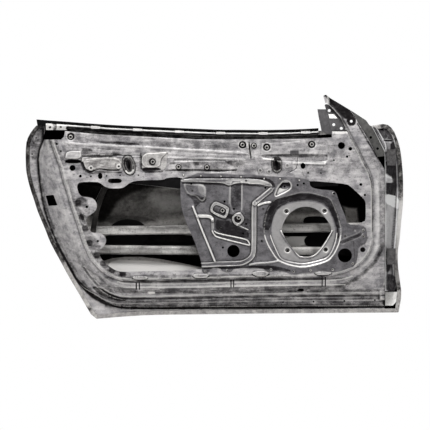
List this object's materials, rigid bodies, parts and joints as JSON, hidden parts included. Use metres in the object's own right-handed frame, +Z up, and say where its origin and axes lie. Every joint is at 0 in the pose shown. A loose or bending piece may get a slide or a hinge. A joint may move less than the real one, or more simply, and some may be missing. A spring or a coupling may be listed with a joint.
{
  "type": "car door shell",
  "caption": "Bare front door shell of a two-door car: curved outer skin, stamped inner panel with service openings, carrier plate, impact beams, belt rails and hinge seats.",
  "frame": {"origin": "middle of the lower hinge seat's flat face, which the lower hinge bolts against", "axes": "+X forwards from the latch end to the hinge end, -Y towards the cabin, +Y to the outer skin, +Z up"},
  "size_m": [1.4, 0.1417, 0.8296],
  "materials": {
    "bare_panel_steel": "bare galvanised pressing, matt",
    "carrier_plate_grey": "dark grey coated sheet, semi-gloss",
    "beam_steel": "rolled high-strength steel",
    "dark_primer": "dark primer, satin",
    "pale_primer": "pale primer, satin",
    "black_strip": "matt black",
    "zinc_fastener": "zinc plated",
    "damping_tar": "matt black damping sheet"
  },
  "bodies": {
    "root": {"belt_rail_inner": "beam_steel", "belt_rail_outer": "pale_primer", "belt_strip": "black_strip", "carrier_plate": "carrier_plate_grey", "carrier_rivet_1": "zinc_fastener", "carrier_rivet_2": "zinc_fastener", "carrier_rivet_3": "zinc_fastener", "carrier_rivet_4": "zinc_fastener", "carrier_rivet_5": "zinc_fastener", "carrier_rivet_6": "zinc_fastener", "carrier_rivet_7": "zinc_fastener", "carrier_screw_1": "zinc_fastener", "carrier_screw_2": "zinc_fastener", "carrier_screw_3": "zinc_fastener", "carrier_screw_4": "zinc_fastener", "carrier_screw_5": "zinc_fastener", "carrier_screw_6": "zinc_fastener", "carrier_screw_7": "zinc_fastener", "carrier_screw_8": "zinc_fastener", "carrier_screw_9": "zinc_fastener", "damping_pad_front": "damping_tar", "damping_pad_rear": "damping_tar", "dish_bolt_1": "zinc_fastener", "dish_plate": "bare_panel_steel", "hinge_seat_lower": "zinc_fastener", "hinge_seat_upper": "zinc_fastener", "hinge_wall": "dark_primer", "inner_panel": "bare_panel_steel", "latch_reinforcement": "beam_steel", "lower_impact_beam": "beam_steel", "mirror_bracket": "dark_primer", "mirror_pad": "pale_primer", "outer_skin": "bare_panel_steel", "pad_bolt_1": "zinc_fastener", "pad_bolt_2": "zinc_fastener", "rear_guide_rail": "beam_steel", "sash_flange": "dark_primer", "sill_filler": "pale_primer", "speaker_nut_1": "zinc_fastener", "speaker_nut_2": "zinc_fastener", "speaker_nut_3": "zinc_fastener", "speaker_nut_4": "zinc_fastener", "upper_impact_beam": "beam_steel", "waist_bolt_1": "zinc_fastener", "waist_bolt_2": "zinc_fastener", "waist_bolt_3": "zinc_fastener", "waist_bolt_4": "zinc_fastener", "waist_bolt_5": "zinc_fastener", "waist_bolt_6": "zinc_fastener", "waist_bolt_7": "zinc_fastener", "waist_bracket": "bare_panel_steel", "waist_patch": "bare_panel_steel", "window_guide_post": "dark_primer"}
  },
  "joints": []
}
